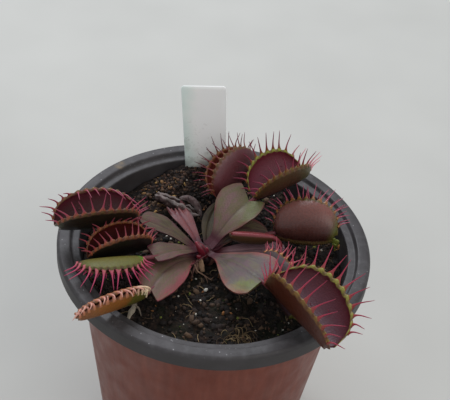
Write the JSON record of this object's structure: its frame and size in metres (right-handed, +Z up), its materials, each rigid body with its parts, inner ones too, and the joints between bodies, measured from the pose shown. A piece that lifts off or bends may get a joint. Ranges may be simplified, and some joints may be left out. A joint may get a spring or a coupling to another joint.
{
  "type": "potted venus flytrap",
  "caption": "Potted carnivorous plant with toothed snap traps on flat leaf stalks round a crown, in a round thermoformed nursery pot of peat with a slip-in plant label.",
  "frame": {"origin": "centre of the pot's flat foot, on the table plane", "axes": "+Z up out of the pot's mouth, +Y away from the viewer towards the plant label, +X to the viewer's right"},
  "size_m": [0.1038, 0.1013, 0.1137],
  "materials": {
    "pot_sheet": "thin thermoformed polypropylene sheet, dark grey inside and on the rim, terracotta red outside, dusty",
    "label_plastic": "thin white satin plastic strip, slightly translucent, smudged with peat low down",
    "peat": null,
    "rhizome": null,
    "bud_skin": null,
    "leaf_blade": null,
    "trap_skin": null,
    "dry_leaf": null,
    "dry_trap": null
  },
  "bodies": {
    "root": {"pot": "pot_sheet", "plant_label": "label_plastic", "crown": "rhizome", "leaf_buds": "bud_skin", "soil": "peat", "petiole_upper_left": "leaf_blade", "trap_upper_left": "trap_skin", "petiole_mid_left": "leaf_blade", "trap_mid_left": "trap_skin", "petiole_low_left": "leaf_blade", "trap_low_left": "trap_skin", "petiole_front_left": "leaf_blade", "trap_front_left": "trap_skin", "petiole_back": "leaf_blade", "trap_back": "trap_skin", "petiole_upper_right": "leaf_blade", "trap_upper_right": "trap_skin", "petiole_right": "leaf_blade", "trap_right": "trap_skin", "petiole_front_right": "leaf_blade", "trap_front_right": "trap_skin", "petiole_under_right": "leaf_blade", "trap_under_right": "trap_skin", "petiole_young": "leaf_blade", "trap_young": "trap_skin", "petiole_withered": "dry_leaf", "trap_withered": "dry_trap"}
  },
  "joints": []
}
